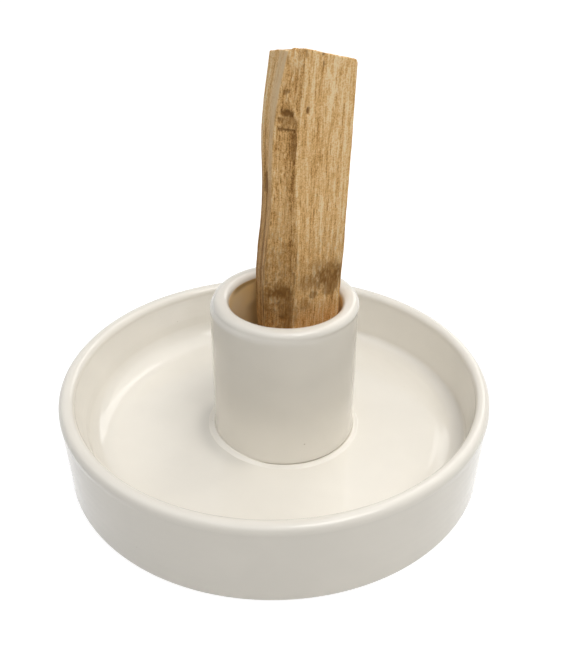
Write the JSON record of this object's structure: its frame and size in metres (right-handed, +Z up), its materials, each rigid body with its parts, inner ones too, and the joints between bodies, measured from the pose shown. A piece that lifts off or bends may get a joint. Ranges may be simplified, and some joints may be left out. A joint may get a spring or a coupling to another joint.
{
  "type": "palo santo holder",
  "caption": "Round glazed stoneware dish with a rolled rim, a straight cup luted to its floor, and a split palo santo stick that stands in the cup and lifts out.",
  "frame": {"origin": "centre of the dish on the table, in the plane of its foot ring", "axes": "+Z up, +X the side the stick leans to, -Y the front that faces the viewer"},
  "size_m": [0.114, 0.114, 0.1118],
  "materials": {
    "white_glaze": "gloss",
    "palo_santo_wood": "raw split wood"
  },
  "bodies": {
    "holder": {"dish": "white_glaze", "cup": "white_glaze", "slip_seam": "white_glaze"},
    "stick": {"palo_santo_stick": "palo_santo_wood"}
  },
  "joints": [
    {"name": "stick_lift", "type": "slide", "parent": "holder", "child": "stick", "axis": [0.0349, 0, 0.9994], "range_m": [0, 0.045]}
  ]
}
